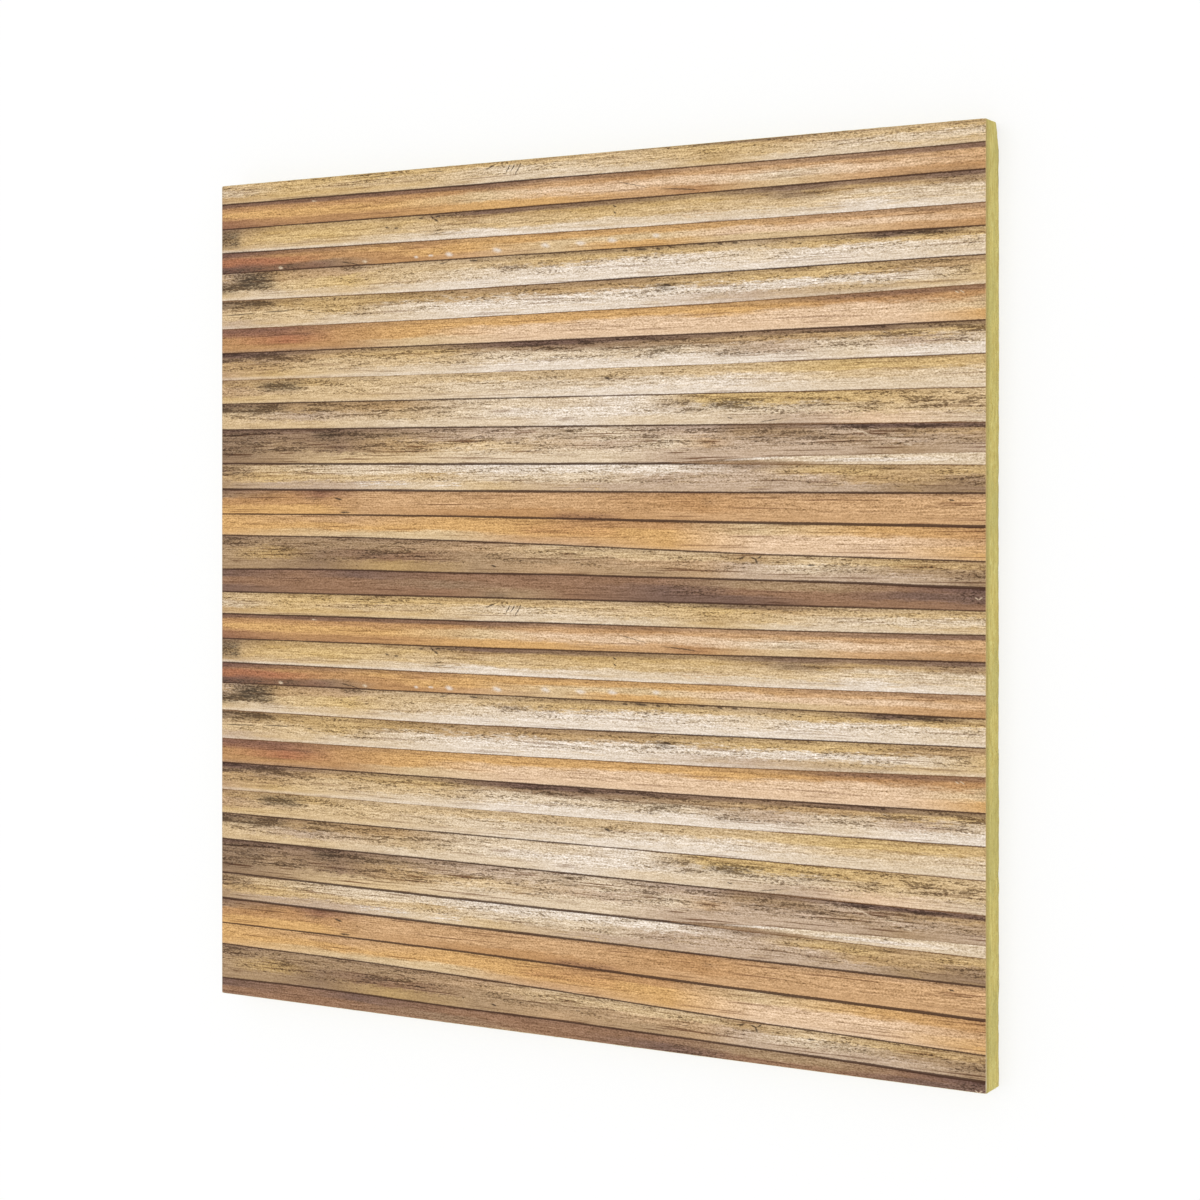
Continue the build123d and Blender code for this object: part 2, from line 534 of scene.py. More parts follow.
# The reeds from the top down. foot is where the lower edge lies, in mm below the top of the print, at
# places along it in mm. joint is the width in mm of the dark line under it, shade how dark its upper rim
# is, glow how pale its lower rim, specks how many dark pores it has and how raggedly its tones meet, lines
# how strongly it is lined along and sun how much of it has yellowed, each a number or a run of places and
# numbers. tones run along it from the left: the place, then the upper, middle and lower tone there.
REEDS = (
    dict(
        foot=((0, 14.0), (120, 14.1), (200, 14.4), (300, 14.3), (440, 14.9), (500, 14.9), (595, 14.3)),
        joint=((0, 1.0), (280, 1.0), (350, 0.75), (595, 0.8)),
        shade=((0, 0.2), (380, 0.4), (420, 0.75), (465, 0.55), (490, 0.3), (595, 0.3)),
        glow=0.2, specks=0.8, lines=0.6, sun=0.5,
        tones=(
            (0, "straw", "cream", "olive"), (60, "wheat", "wheat", "wheat"),
            (120, "gold", "straw", "wheat"), (190, "wheat", "straw", "straw"),
            (250, "wheat", "cream", "cream"), (350, "straw", "straw", "cream"),
            (410, "gold", "wheat", "wheat"), (460, "olive", "straw", "cream"),
            (500, "straw", "cream", "cream"), (595, "wheat", "cream", "straw"),
        ),
    ),
    dict(
        foot=((0, 32.2), (200, 32.6), (400, 32.2), (595, 30.8)),
        shade=((0, 0.85), (200, 0.8), (300, 0.6), (420, 0.4), (595, 0.9)),
        joint=0.9, glow=0.0, specks=0.15, lines=0.3, sun=0,
        tones=(
            (0, "amber", "honey", "rust"), (60, "amber", "honey", "amber"),
            (150, "amber", "honey", "amber"), (230, "amber", "straw", "honey"),
            (280, "biscuit", "salmon", "honey"), (360, "amber", "salmon", "biscuit"),
            (400, "biscuit", "salmon", "amber"), (460, "biscuit", "cream", "straw"),
            (510, "biscuit", "salmon", "biscuit"), (595, "biscuit", "biscuit", "amber"),
        ),
    ),
    dict(
        foot=((0, 49.8), (200, 51.0), (300, 51.4), (440, 51.7), (595, 51.2)),
        joint=((0, 0.9), (200, 0.6), (330, 0.45), (595, 0.5)),
        shade=(
            (0, 0.5), (60, 0.2), (170, 0.3), (230, 0.9), (330, 0.7), (400, 0.5), (470, 0.7),
            (595, 0.75),
        ),
        glow=0.8, specks=0.4, lines=0.4, sun=0.6,
        tones=(
            (0, "drab", "olive", "olive"), (45, "lichen", "wheat", "straw"),
            (100, "wheat", "gold", "straw"), (170, "wheat", "straw", "cream"),
            (220, "olive", "straw", "chalk"), (330, "lichen", "wheat", "cream"),
            (400, "wheat", "straw", "cream"), (460, "drab", "straw", "cream"),
            (520, "olive", "cream", "chalk"), (595, "drab", "cream", "cream"),
        ),
    ),
    dict(
        foot=((0, 64.8), (200, 64.9), (400, 65.0), (595, 65.2)),
        shade=((0, 0.8), (60, 0.6), (120, 0.4), (250, 0.25), (450, 0.3), (595, 0.5)),
        joint=0.85, glow=0.0, specks=0.2, lines=0.4, sun=0,
        tones=(
            (0, "rust", "russet", "oxblood"), (50, "amber", "russet", "rust"),
            (100, "amber", "amber", "umber"), (145, "honey", "amber", "amber"),
            (180, "amber", "honey", "amber"), (220, "honey", "honey", "biscuit"),
            (290, "honey", "straw", "straw"), (330, "honey", "straw", "honey"),
            (370, "honey", "straw", "honey"), (420, "honey", "salmon", "straw"),
            (475, "biscuit", "salmon", "straw"), (540, "biscuit", "salmon", "biscuit"),
            (595, "biscuit", "biscuit", "amber"),
        ),
    ),
    dict(
        foot=((0, 85.0), (200, 86.3), (320, 85.3), (400, 84.7), (595, 82.9)),
        joint=((0, 0.6), (250, 0.6), (330, 0.9), (595, 0.8)),
        shade=((0, 0.2), (150, 0.3), (330, 0.5), (480, 0.4), (530, 0.9), (560, 0.6), (595, 0.4)),
        glow=0.5, specks=0.8, lines=0.3, sun=0.3,
        tones=(
            (0, "ash", "drab", "straw"), (45, "olive", "straw", "cream"), (115, "tan", "gold", "straw"),
            (150, "straw", "straw", "cream"), (220, "straw", "cream", "chalk"),
            (290, "wheat", "chalk", "chalk"), (380, "wheat", "chalk", "chalk"),
            (440, "straw", "cream", "chalk"), (480, "wheat", "chalk", "chalk"),
            (595, "wheat", "cream", "cream"),
        ),
    ),
    dict(
        foot=((0, 105.8), (200, 106.0), (400, 104.9), (480, 103.4), (595, 101.0)),
        shade=((0, 0.3), (100, 0.2), (300, 0.4), (595, 0.3)),
        joint=0.5, glow=0.4, specks=0.9, lines=0.4, sun=0.4,
        tones=(
            (0, "drab", "straw", "ash"), (60, "lichen", "straw", "straw"),
            (110, "wheat", "wheat", "cream"), (150, "lichen", "cream", "cream"),
            (220, "olive", "chalk", "chalk"), (340, "olive", "chalk", "chalk"),
            (435, "wheat", "chalk", "ash"), (510, "wheat", "chalk", "straw"),
            (560, "olive", "cream", "straw"), (595, "olive", "wheat", "straw"),
        ),
    ),
    dict(
        foot=((0, 123.6), (200, 124.0), (400, 124.0), (595, 122.9)),
        shade=((0, 0.5), (100, 0.3), (250, 0.2), (350, 0.1), (420, 0.3), (500, 0.6), (595, 0.65)),
        joint=0.9, glow=0.1, specks=0.15, lines=0.4, sun=0,
        tones=(
            (0, "rust", "amber", "amber"), (60, "rust", "russet", "amber"),
            (105, "amber", "amber", "amber"), (175, "honey", "honey", "straw"),
            (250, "honey", "salmon", "salmon"), (430, "honey", "salmon", "salmon"),
            (540, "amber", "salmon", "salmon"), (595, "amber", "straw", "honey"),
        ),
    ),
    dict(
        foot=((0, 143.5), (200, 144.2), (400, 144.2), (595, 143.3)),
        joint=((0, 0.4), (120, 0.1), (430, 0.1), (480, 0.7)),
        shade=(
            (0, 0.9), (60, 0.6), (140, 0.4), (260, 0.9), (330, 0.7), (440, 0.65), (520, 0.85),
            (560, 0.7), (595, 0.7),
        ),
        glow=0.5, specks=1.0, lines=0.5, sun=0.1,
        tones=(
            (0, "umber", "olive", "tan"), (48, "drab", "olive", "wheat"),
            (90, "olive", "straw", "straw"), (150, "wheat", "straw", "cream"),
            (195, "wheat", "straw", "cream"), (240, "drab", "cream", "chalk"),
            (300, "umber", "cream", "chalk"), (385, "drab", "cream", "chalk"),
            (450, "olive", "ash", "chalk"), (505, "olive", "cream", "cream"),
            (545, "wheat", "ash", "chalk"), (595, "wheat", "cream", "chalk"),
        ),
    ),
    dict(
        foot=((0, 160.8), (200, 162.0), (400, 163.0), (595, 164.0)),
        joint=((0, 0.9), (250, 0.9), (340, 0.75), (595, 0.6)),
        shade=((0, 0.3), (100, 0.2), (595, 0.15)),
        specks=((0, 0.9), (380, 0.7), (450, 0.35), (595, 0.45)),
        glow=0.2, lines=0.3, sun=0.3,
        tones=(
            (0, "olive", "tan", "wheat"), (85, "wheat", "straw", "straw"),
            (130, "straw", "straw", "straw"), (220, "straw", "cream", "cream"),
            (320, "straw", "cream", "chalk"), (420, "straw", "chalk", "chalk"),
            (500, "gold", "straw", "cream"), (595, "wheat", "cream", "cream"),
        ),
    ),
    dict(
        foot=((0, 179.8), (200, 181.4), (400, 183.4), (595, 185.2)),
        joint=((0, 1.0), (400, 0.9), (500, 0.5)),
        shade=((0, 0.4), (150, 0.2), (250, 0.0), (595, 0.1)),
        specks=((0, 1.0), (220, 0.9), (260, 0.6), (350, 0.6), (390, 1.0), (595, 1.0)),
        glow=0.1, lines=0.5, sun=0.2,
        tones=(
            (0, "drab", "straw", "straw"), (80, "olive", "ash", "straw"),
            (160, "olive", "straw", "cream"), (220, "cream", "cream", "cream"),
            (260, "cream", "chalk", "cream"), (300, "cream", "chalk", "chalk"),
            (345, "chalk", "chalk", "cream"), (400, "gold", "cream", "cream"),
            (470, "gold", "cream", "ash"), (520, "wheat", "straw", "salmon"),
            (595, "straw", "straw", "cream"),
        ),
    ),
    dict(
        foot=((0, 204.6), (200, 206.9), (372, 208.2), (400, 206.6), (450, 204.6), (595, 203.4)),
        joint=((0, 1.1), (150, 1.4), (370, 1.2), (385, 0.1), (595, 0.2)),
        shade=((0, 0.6), (100, 0.4), (300, 0.2), (400, 0.4), (495, 0.6), (515, 0.85), (595, 0.85)),
        glow=0.0, specks=0.95, lines=1.3, sun=0,
        tones=(
            (0, "umber", "umber", "umber"), (50, "umber", "drab", "drab"),
            (110, "umber", "umber", "straw"), (150, "drab", "olive", "straw"),
            (230, "ash", "straw", "cream"), (330, "cream", "ash", "cream"),
            (375, "ash", "cream", "ash"), (405, "ash", "tan", "ash"), (425, "drab", "ash", "ash"),
            (470, "drab", "ash", "ash"), (505, "ash", "drab", "ash"), (540, "drab", "ash", "drab"),
            (595, "olive", "drab", "ash"),
        ),
    ),
    dict(
        foot=((0, 204.7), (200, 207.0), (372, 208.5), (400, 208.8), (450, 209.6), (595, 211.4)),
        joint=((0, 1.1), (150, 1.4), (390, 1.0), (410, 0.5), (595, 0.4)),
        glow=0.0, specks=0.2, lines=0.2, sun=0, shade=0.0,
        tones=(
            (0, "umber", "umber", "umber"), (405, "umber", "umber", "tan"),
            (440, "chalk", "drab", "umber"), (470, "cream", "cream", "drab"),
            (500, "cream", "chalk", "cream"), (530, "cream", "chalk", "cream"),
            (595, "cream", "cream", "cream"),
        ),
    ),
    dict(
        foot=((0, 223.5), (200, 225.6), (400, 227.4), (500, 228.0), (595, 228.7)),
        joint=((0, 1.5), (280, 1.5), (350, 1.2), (595, 1.2)),
        shade=((0, 0.2), (380, 0.0), (430, 0.4), (595, 0.2)),
        glow=0.0, specks=0.8, lines=0.8, sun=0.3,
        tones=(
            (0, "drab", "olive", "drab"), (45, "straw", "wheat", "ash"), (110, "cream", "straw", "ash"),
            (165, "cream", "straw", "cream"), (235, "chalk", "cream", "straw"),
            (320, "chalk", "cream", "ash"), (370, "chalk", "ash", "ash"), (435, "ash", "ash", "ash"),
            (480, "wheat", "ash", "ash"), (510, "wheat", "olive", "ash"),
            (540, "olive", "olive", "drab"), (595, "wheat", "drab", "umber"),
        ),
    ),
    dict(
        foot=((0, 241.8), (100, 242.1), (200, 243.1), (280, 244.4), (400, 246.6), (595, 249.0)),
        joint=((0, 0.8), (160, 1.2), (400, 1.7), (595, 1.9)),
        shade=((0, 0.4), (85, 0.4), (140, 0.2), (595, 0.3)),
        glow=0.0, specks=0.4, lines=0.8, sun=0,
        tones=(
            (0, "umber", "amber", "honey"), (60, "amber", "amber", "honey"),
            (90, "rust", "amber", "honey"), (130, "biscuit", "biscuit", "biscuit"),
            (230, "biscuit", "biscuit", "amber"), (300, "biscuit", "biscuit", "amber"),
            (400, "amber", "amber", "biscuit"), (450, "biscuit", "biscuit", "biscuit"),
            (595, "biscuit", "biscuit", "biscuit"),
        ),
    ),
    dict(
        foot=(
            (0, 257.3), (120, 258.4), (200, 260.0), (280, 262.2), (360, 264.8), (440, 267.4),
            (520, 268.9), (595, 270.4),
        ),
        joint=0.9, glow=0.15, specks=0.1, lines=0.6, sun=0, shade=0.15,
        tones=(
            (0, "honey", "honey", "honey"), (115, "biscuit", "honey", "straw"),
            (200, "honey", "honey", "straw"), (265, "honey", "honey", "biscuit"),
            (300, "amber", "honey", "biscuit"), (375, "amber", "honey", "honey"),
            (440, "straw", "salmon", "salmon"), (520, "honey", "salmon", "salmon"),
            (595, "amber", "biscuit", "honey"),
        ),
    ),
    dict(
        foot=(
            (0, 282.4), (60, 281.6), (120, 281.6), (200, 282.4), (300, 282.6), (400, 283.6),
            (500, 284.6), (595, 286.8),
        ),
        joint=((0, 1.1), (450, 1.2), (530, 1.7), (595, 1.9)),
        shade=((0, 0.4), (60, 0.2), (200, 0.3), (595, 0.2)),
        glow=0.0, specks=0.9, lines=1.0, sun=0.1,
        tones=(
            (0, "drab", "drab", "drab"), (45, "drab", "lichen", "drab"), (90, "drab", "umber", "umber"),
            (150, "drab", "plum", "lichen"), (225, "tan", "drab", "drab"),
            (290, "straw", "drab", "tan"), (360, "straw", "tan", "drab"), (400, "straw", "tan", "tan"),
            (430, "olive", "ash", "ash"), (475, "straw", "cream", "ash"), (540, "wheat", "drab", "ash"),
            (595, "olive", "drab", "drab"),
        ),
    ),
    dict(
        foot=((0, 298.9), (200, 299.1), (400, 299.5), (595, 300.6)),
        joint=((0, 0.9), (200, 1.1), (430, 1.0), (595, 0.8)),
        shade=((0, 0.2), (530, 0.15), (570, 0.55), (595, 0.6)),
        glow=0.0, specks=0.3, lines=0.6, sun=0,
        tones=(
            (0, "dusk", "plum", "dusk"), (70, "plum", "plum", "plum"), (120, "dusk", "plum", "plum"),
            (200, "plum", "umber", "plum"), (260, "plum", "plum", "drab"),
            (300, "plum", "plum", "plum"), (370, "plum", "dusk", "dusk"), (425, "drab", "plum", "dusk"),
            (490, "drab", "plum", "plum"), (545, "plum", "dusk", "plum"), (595, "dusk", "dusk", "plum"),
        ),
    ),
)

# Weather stains, and below them patches that are paler or yellower than the reed: the reed, from and to
# along it in mm, from and to across it as shares from its upper edge, the tone, and how dense the patch is.
# The twelfth reed in the list is the thin wedge that opens at the right.
STAINS = (
    (1, 105, 165, 0.0, 0.25, "umber", 0.4), (1, 395, 426, 0.55, 0.75, "umber", 0.4),
    (1, 395, 455, 0.0, 0.15, "soot", 0.5), (2, 216, 264, 0.05, 0.3, "umber", 0.5),
    (2, 378, 405, 0.75, 0.95, "rust", 0.7), (2, 535, 595, 0.82, 1.0, "umber", 0.5),
    (2, 0, 120, 0.85, 1.0, "oxblood", 0.5), (3, 0, 17, 0.1, 0.8, "soot", 0.8),
    (3, 176, 232, 0.0, 0.2, "umber", 0.5), (3, 184, 202, 0.45, 0.85, "umber", 0.25),
    (3, 452, 490, 0.2, 0.38, "soot", 0.5), (3, 560, 595, 0.0, 0.38, "umber", 0.5),
    (3, 140, 160, 0.3, 0.5, "umber", 0.35), (4, 0, 46, 0.72, 1.0, "soot", 0.8),
    (4, 45, 76, 0.68, 1.0, "soot", 0.75), (4, 72, 105, 0.7, 1.0, "oxblood", 0.6),
    (4, 100, 132, 0.72, 1.0, "umber", 0.5), (4, 0, 50, 0.0, 0.7, "oxblood", 0.3),
    (5, 0, 16, 0.35, 0.75, "soot", 0.7), (5, 12, 46, 0.05, 0.62, "soot", 1.0),
    (5, 110, 128, 0.0, 0.2, "soot", 0.4), (5, 240, 264, 0.25, 0.45, "umber", 0.5),
    (5, 274, 292, 0.3, 0.5, "umber", 0.4), (5, 515, 575, 0.0, 0.16, "soot", 0.8),
    (6, 0, 50, 0.06, 0.26, "soot", 0.75), (6, 62, 74, 0.1, 0.25, "umber", 0.5),
    (6, 118, 134, 0.55, 0.8, "umber", 0.35), (6, 365, 380, 0.25, 0.45, "soot", 0.6),
    (6, 540, 590, 0.05, 0.5, "umber", 0.15), (6, 480, 540, 0.75, 1.0, "umber", 0.5),
    (7, 0, 60, 0.08, 0.35, "oxblood", 0.6), (7, 60, 95, 0.2, 0.45, "oxblood", 0.5),
    (7, 480, 560, 0.0, 0.25, "rust", 0.6), (7, 0, 110, 0.88, 1.0, "umber", 0.5),
    (8, 0, 60, 0.0, 0.32, "umber", 0.6), (8, 255, 315, 0.0, 0.32, "umber", 0.4),
    (8, 150, 170, 0.1, 0.4, "umber", 0.15), (8, 360, 386, 0.35, 0.6, "soot", 0.3),
    (8, 394, 440, 0.4, 0.8, "umber", 0.28), (8, 520, 560, 0.25, 0.5, "umber", 0.2),
    (8, 574, 595, 0.2, 0.45, "umber", 0.4), (8, 200, 236, 0.2, 0.35, "umber", 0.4),
    (9, 35, 72, 0.12, 0.5, "soot", 0.85), (9, 8, 30, 0.3, 0.45, "umber", 0.5),
    (9, 90, 116, 0.1, 0.3, "umber", 0.15), (9, 265, 300, 0.15, 0.6, "umber", 0.25),
    (9, 300, 332, 0.2, 0.5, "umber", 0.25), (9, 340, 372, 0.1, 0.3, "umber", 0.25),
    (10, 0, 62, 0.05, 0.4, "soot", 0.6), (10, 70, 110, 0.05, 0.45, "soot", 0.35),
    (10, 95, 160, 0.1, 0.55, "umber", 0.2), (10, 165, 200, 0.2, 0.5, "umber", 0.4),
    (10, 362, 400, 0.15, 0.5, "umber", 0.5), (10, 394, 442, 0.22, 0.5, "soot", 0.5),
    (10, 445, 490, 0.25, 0.5, "umber", 0.25), (10, 508, 526, 0.3, 0.5, "umber", 0.3),
    (10, 540, 595, 0.25, 0.6, "umber", 0.28), (11, 0, 42, 0.0, 0.85, "soot", 0.25),
    (11, 85, 107, 0.05, 0.3, "soot", 0.6), (11, 110, 165, 0.05, 0.35, "soot", 0.25),
    (11, 40, 110, 0.5, 0.75, "umber", 0.25), (11, 124, 166, 0.45, 0.7, "umber", 0.4),
    (11, 280, 306, 0.1, 0.3, "umber", 0.5), (11, 358, 380, 0.15, 0.4, "umber", 0.4),
    (11, 400, 500, 0.0, 0.25, "umber", 0.2), (11, 430, 505, 0.3, 0.55, "umber", 0.35),
    (11, 505, 595, 0.0, 0.12, "dusk", 0.8), (13, 0, 30, 0.2, 0.5, "umber", 0.6),
    (13, 310, 332, 0.4, 0.7, "umber", 0.2), (13, 350, 376, 0.5, 0.7, "umber", 0.3),
    (13, 570, 595, 0.35, 0.7, "dusk", 0.45), (13, 470, 595, 0.7, 1.0, "umber", 0.25),
    (14, 75, 92, 0.28, 0.42, "umber", 0.6), (14, 284, 336, 0.8, 1.0, "oxblood", 0.7),
    (14, 398, 412, 0.25, 0.4, "umber", 0.4), (15, 260, 335, 0.3, 0.6, "russet", 0.5),
    (16, 0, 36, 0.0, 0.35, "umber", 0.5), (16, 75, 190, 0.0, 1.0, "umber", 0.15),
    (16, 122, 156, 0.4, 0.6, "soot", 0.55), (16, 54, 64, 0.25, 0.4, "umber", 0.5),
    (16, 570, 595, 0.5, 0.9, "dusk", 0.25), (17, 230, 250, 0.75, 1.0, "soot", 0.5),
    (17, 365, 420, 0.2, 0.8, "dusk", 0.6), (17, 574, 595, 0.1, 0.8, "dusk", 0.7),
)
BLEACHES = (
    (3, 384, 414, 0.65, 0.8, "biscuit", 0.6), (5, 0, 24, 0.05, 0.3, "olive", 0.7),
    (5, 0, 60, 0.6, 0.8, "lichen", 0.4), (5, 6, 14, 0.5, 0.7, "cream", 0.6),
    (13, 28, 52, 0.3, 0.5, "lichen", 0.6), (13, 120, 170, 0.6, 0.85, "white", 0.7),
    (13, 166, 210, 0.28, 0.55, "lichen", 0.8), (13, 182, 211, 0.65, 0.9, "white", 0.6),
    (13, 304, 326, 0.8, 0.95, "wheat", 0.7), (15, 294, 322, 0.05, 0.25, "amber", 0.5),
    (16, 20, 70, 0.3, 0.75, "lichen", 0.5), (10, 400, 445, 0.0, 0.22, "gold", 0.85),
)

# Fine marks of the print, each a stroke: from and to, along and down the print, and its half width, in mm
DARK_STROKES = (
    (131, 3.2, 156, 2.6, 0.35), (181, 2.6, 200, 3.2, 0.35), (230, 5.4, 242, 1.0, 0.5),
    (248, 8.6, 252, 2.2, 0.65), (252, 8.0, 255.5, 2.4, 0.6), (255, 10.8, 260, 3.4, 0.65),
    (258.5, 5.0, 260.5, 2.0, 0.5), (332, 19.6, 362, 26.4, 0.3), (365, 27.0, 402, 30.2, 0.45),
    (147.5, 39.2, 150.5, 40.0, 0.7), (155, 40.4, 158.5, 40.6, 0.6), (186, 33.5, 188.5, 36.0, 0.7),
    (188.5, 36.0, 192.5, 37.8, 0.9), (190, 34.6, 194, 34.2, 0.6), (176, 34.8, 180, 34.6, 0.5),
    (189, 44.8, 196, 43.2, 0.4), (186, 46.6, 200, 45.6, 0.4), (333, 36.2, 335, 37.0, 0.7),
    (333.5, 40.2, 335, 41.4, 0.7), (193, 67.6, 200, 66.8, 0.6), (218, 66.6, 225, 67.0, 0.9),
    (340, 66.4, 344, 67.0, 0.9), (348.5, 65.8, 360, 67.0, 1.1), (365.5, 66.4, 368.5, 67.0, 0.8),
    (396, 65.8, 402, 65.6, 0.7), (411, 65.6, 414.5, 66.6, 1.1), (421, 66.2, 426, 66.2, 0.7),
    (468, 69.4, 471, 68.8, 0.7), (0, 95.6, 34, 95.2, 0.55), (36, 94.8, 66, 94.2, 0.5),
    (78, 95.0, 84, 95.4, 0.6), (115, 62.2, 126, 65.0, 0.6), (108, 61.4, 118, 63.4, 0.5),
    (371, 90.4, 377, 91.6, 0.9), (326, 150.2, 331, 151.6, 1.0), (440, 182.6, 460, 180.0, 0.4),
    (418, 178.8, 422, 179.6, 0.5), (527, 205.6, 530, 206.0, 0.5), (102.5, 230.2, 110, 231.6, 1.0),
    (107.5, 240.6, 117, 240.4, 0.9), (570, 232.6, 575, 233.2, 0.6), (426.5, 270.8, 431, 268.8, 0.8),
    (435, 269.4, 439.5, 270.8, 0.8), (438.6, 270.4, 439.6, 273.6, 0.8), (440, 270.0, 442.5, 268.6, 0.7),
    (475, 273.8, 481, 274.2, 0.7), (236, 276.6, 240, 277.8, 0.8),
)
PALE_STROKES = (
    (82.5, 16.3, 87, 16.8, 0.8), (53, 62.6, 56, 63.2, 1.5), (128, 62.4, 131, 62.8, 1.6),
    (574.5, 104.2, 578, 105.8, 0.55), (577.5, 103.8, 581.5, 106.2, 0.55),
    (505, 187.2, 521, 192.6, 0.65), (540.5, 196.8, 546.5, 199.2, 0.65), (525, 193.8, 541, 194.4, 0.5),
    (588, 292.6, 590, 293.8, 0.6), (590, 293.8, 592.5, 292.4, 0.6),
)
SOFT_DOTS = (
    (172, 61.4, 175, 61.8, 1.4), (184, 61.2, 188, 61.4, 1.2), (199, 60.8, 204, 61.8, 2.3),
    (238, 60.0, 244, 61.2, 2.5), (277, 59.0, 283, 60.0, 2.5), (304, 59.4, 311, 60.0, 2.3),
    (329, 58.8, 335, 59.6, 2.5), (363, 57.8, 368, 58.2, 2.0),
)


def step(value, start, end):
    """Goes smoothly from 0 to 1 as the value goes from start to end."""
    share = np.clip((value - start) / (end - start), 0, 1)
    return share * share * (3 - 2 * share)


def run(keys, along):
    """A number, or a run of places and numbers, at places along a reed."""
    if isinstance(keys, (int, float)):
        return np.full(along.shape, float(keys))
    return np.interp(along, [place for place, _ in keys], [value for _, value in keys])


def run_of_tones(reed, layer, along):
    """The colours of one layer of a reed, upper, middle or lower, at places along it in mm."""
    places = [key[0] for key in reed["tones"]]
    colours = np.array([TONES[key[layer]] for key in reed["tones"]])
    return np.stack([np.interp(along, places, colours[:, channel]) for channel in range(4)], axis=-1)


def patches_at(patches, number, along, from_top):
    """The patches of a reed at places along and across it: their tone, and as alpha how dense they are."""
    total = np.full(along.shape + (1,), 1e-4)
    mixed = np.array(TONES["umber"]) * total
    most = np.zeros(along.shape)
    for reed, start, end, upper, lower, tone, amount in patches:
        if reed != number:
            continue
        soft = min(12.0, 0.3 * (end - start))
        across_soft = 0.12
        cover = step(along, start - soft, start + soft) if start > 0 else np.ones(along.shape)
        cover = cover * (step(along, end + soft, end - soft) if end < side_mm else 1.0)
        cover = cover * (step(from_top, upper - across_soft, upper + across_soft) if upper > 0 else 1.0)
        cover = cover * (step(from_top, lower + across_soft, lower - across_soft) if lower < 1 else 1.0)
        cover = amount * cover
        mixed = mixed + cover[..., None] * np.array(TONES[tone])
        total = total + cover[..., None]
        most = np.maximum(most, cover)
    mixed = mixed / total
    mixed[..., 3] = most
    return mixed


column_count = round(2 * (face_half - FACE_ARRIS) / COLUMN_STEP) + 1
columns = np.linspace(-(face_half - FACE_ARRIS), face_half - FACE_ARRIS, column_count)
along_mm = (columns + face_half) / MM
flat_edge = FACE_ARRIS / MM

# The lower edges of the reeds, eased so that they bend without a kink
far = np.arange(-60.0, side_mm + 60.0, 1.0)
ease = np.hanning(61) / np.hanning(61).sum()
feet = []
for reed in REEDS:
    places, depths = zip(*reed["foot"])
    before = (depths[1] - depths[0]) / (places[1] - places[0])
    after = (depths[-1] - depths[-2]) / (places[-1] - places[-2])
    line = np.interp(far, places, depths)
    line = np.where(far < places[0], depths[0] + before * (far - places[0]), line)
    line = np.where(far > places[-1], depths[-1] + after * (far - places[-1]), line)
    feet.append(np.interp(along_mm, far, np.convolve(line, ease, "same")))

# Rows of points down the face, nine to a reed, and which reed each row of quads belongs to
row_places, bands = [], []
for start in (0.0, PRINT_REPEAT):
    for number, reed in enumerate(REEDS, start=1):
        head = feet[number - 2] if number > 1 else feet[-1] - PRINT_REPEAT
        upper, lower = head + start, np.maximum(feet[number - 1], head + 0.02) + start
        seen_upper = np.clip(upper, flat_edge, side_mm - flat_edge)
        seen_lower = np.clip(lower, flat_edge, side_mm - flat_edge)
        for row in range(ROWS_PER_REED):
            row_places.append(seen_upper + (seen_lower - seen_upper) * row / ROWS_PER_REED)
            bands.append((number, reed, upper, lower, start))
row_places.append(np.full(column_count, side_mm - flat_edge))
row_places = np.array(row_places)
row_count = len(row_places)

face_points = []
for row in range(row_count):
    x, y = rounded(columns, face_half - row_places[row] * MM, face_half - FACE_ARRIS, FACE_CORNER)
    face_points += [Vector((a, b, face_high.z)) for a, b in zip(x, y)]
face_rim = rim(column_count, row_count)
quads = []
for row in range(row_count - 1):
    for c in range(column_count - 1):
        first = row * column_count + c
        quads.append((first, first + column_count, first + column_count + 1, first + 1))
printed_faces = len(quads)

# The rounded arris, the cut edge and the underside that is bonded to the board
face_levels = [
    (FACE_ARRIS * math.sin(turn), face_high.z - FACE_ARRIS * (1 - math.cos(turn)))
    for turn in (math.pi / 2 * s / FACE_ARRIS_STEPS for s in range(1, FACE_ARRIS_STEPS + 1))
]
face_levels.append((FACE_ARRIS, face_low.z))
rim_points = [face_points[i] for i in face_rim]
rim_starts = face_half - FACE_ARRIS - 0.4 * MM
above = face_rim
ring_size = len(face_rim)
for spread, height in face_levels:
    start = len(face_points)
    for p in rim_points:
        out_x = math.copysign(spread, p.x) if abs(p.x) > rim_starts else 0.0
        out_y = math.copysign(spread, p.y) if abs(p.y) > rim_starts else 0.0
        if out_x and out_y:
            out_x, out_y = out_x * math.sqrt(0.5), out_y * math.sqrt(0.5)
        face_points.append(Vector((p.x + out_x, p.y + out_y, height)))
    ring = list(range(start, start + ring_size))
    for k in range(ring_size):
        n = (k + 1) % ring_size
        quads.append((above[k], above[n], ring[n], ring[k]))
    above = ring
face_points.append(Vector((0, 0, face_low.z)))
quads += [(above[k], above[(k + 1) % ring_size], len(face_points) - 1) for k in range(ring_size)]
facing = mesh_object("printed_fleece", face_points, quads)
mesh = facing.data

